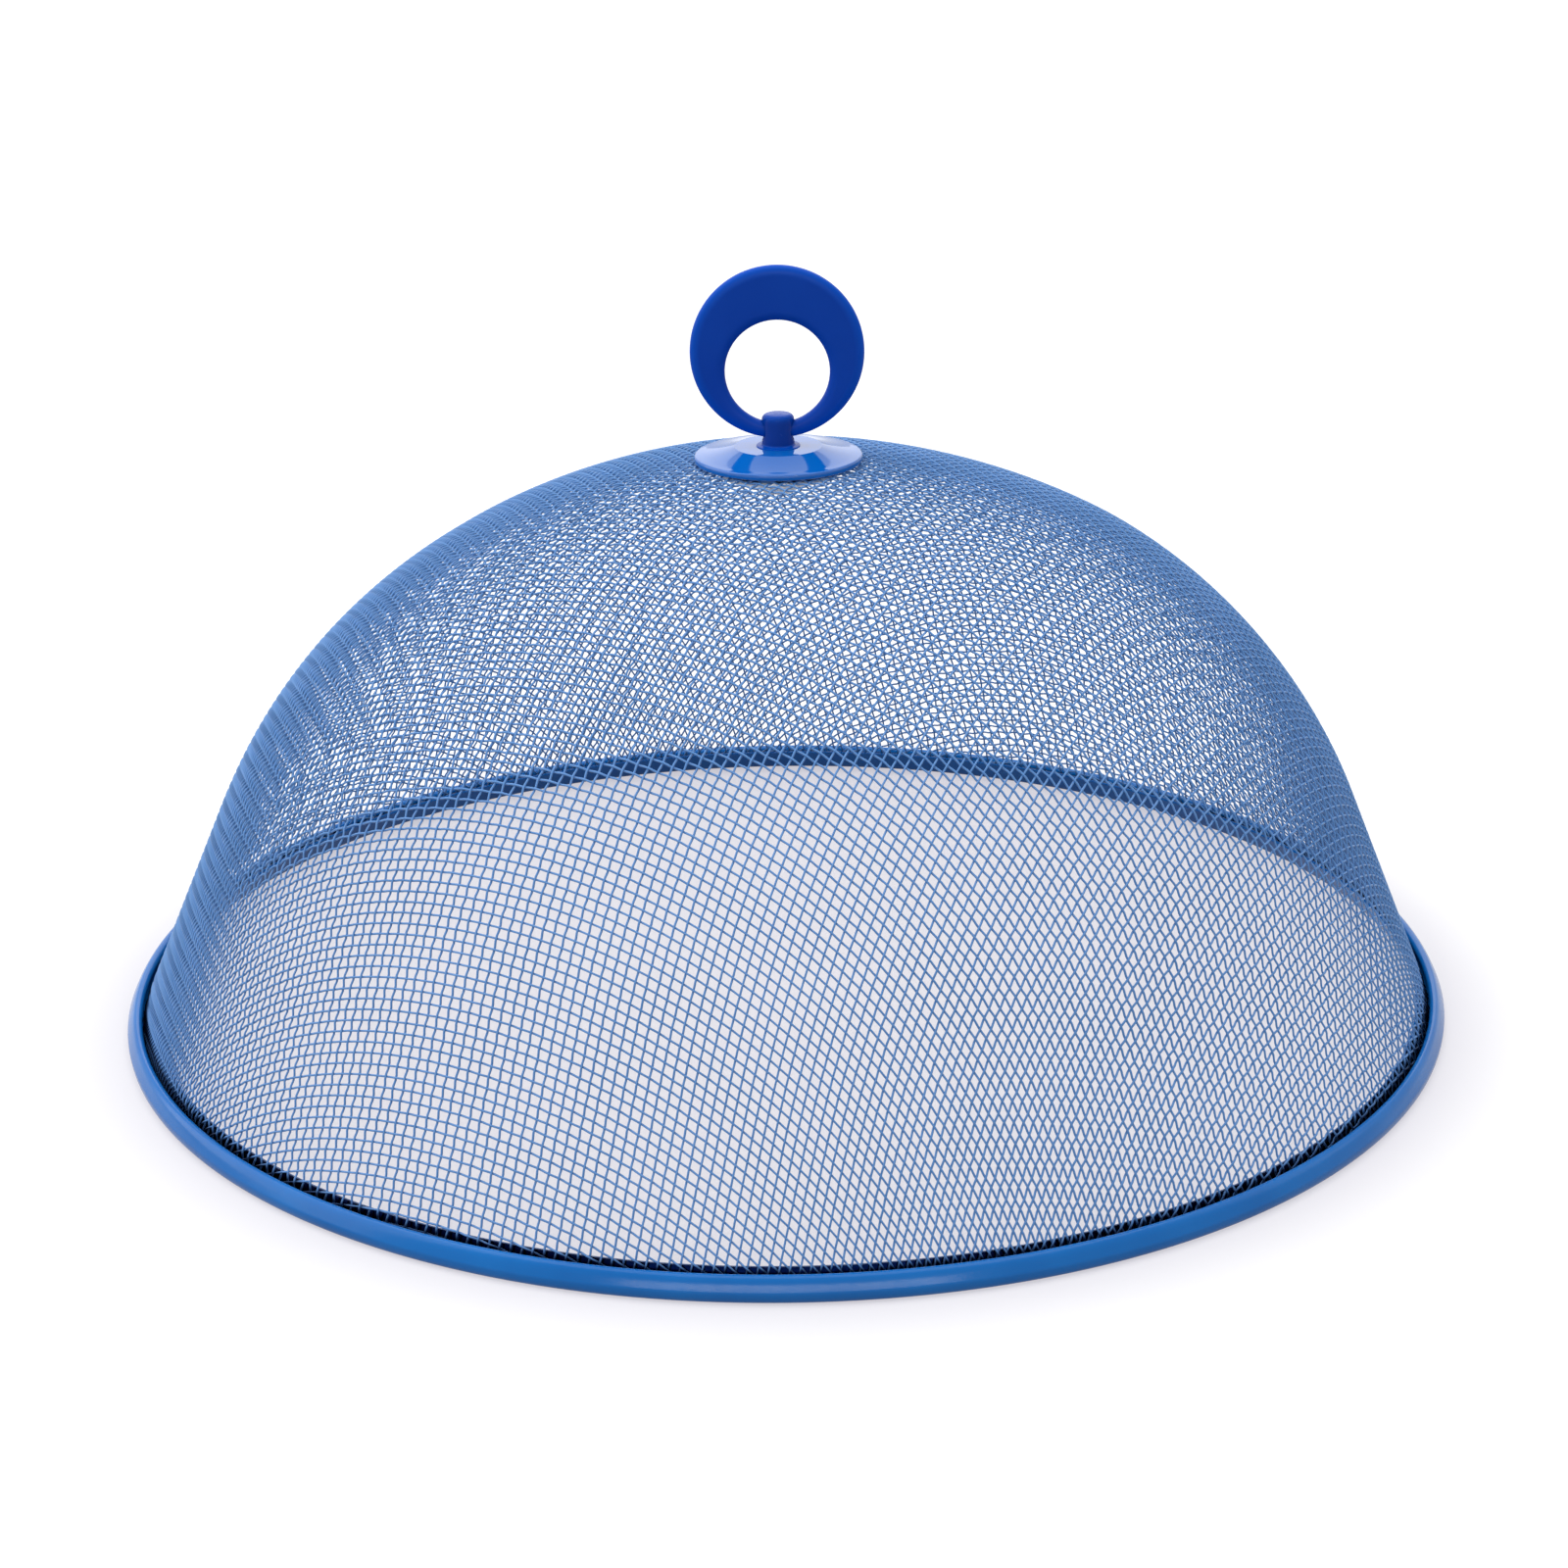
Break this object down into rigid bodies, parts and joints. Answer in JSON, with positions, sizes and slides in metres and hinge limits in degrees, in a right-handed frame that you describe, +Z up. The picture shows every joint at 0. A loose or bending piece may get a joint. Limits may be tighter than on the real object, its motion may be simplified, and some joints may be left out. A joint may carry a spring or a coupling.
{
  "type": "mesh food cover",
  "caption": "Round domed food cover of woven wire cloth in a rolled steel hoop, with a folding ring handle on a turned eye post over a dished top plate.",
  "frame": {"origin": "centre of the hoop's flat underside, on the table that the cover stands on", "axes": "+Z up along the dome's axis; -Y is the front; X runs along the line that the ring handle turns about"},
  "size_m": [0.3, 0.3, 0.1677],
  "materials": {
    "rim_paint": "semi-gloss blue stove enamel",
    "cloth_paint": "satin pale blue coated wire",
    "plate_gloss": "high gloss blue",
    "post_paint": "gloss dark blue",
    "ring_gloss": "satin gloss dark blue",
    "zinc": "zinc plated"
  },
  "bodies": {
    "cover": {"rim_hoop": "rim_paint", "mesh_dome": "cloth_paint", "top_plate": "plate_gloss", "eye_post": "post_paint", "backing_washer": "zinc", "lock_washer": "zinc", "clamp_nut": "zinc"},
    "handle": {"ring_handle": "ring_gloss"}
  },
  "joints": [
    {"name": "ring_fold", "type": "hinge", "parent": "cover", "child": "handle", "pos_m": [0, 0, 0.13151], "axis": [1, 0, 0], "range_deg": [-102, 102]}
  ]
}
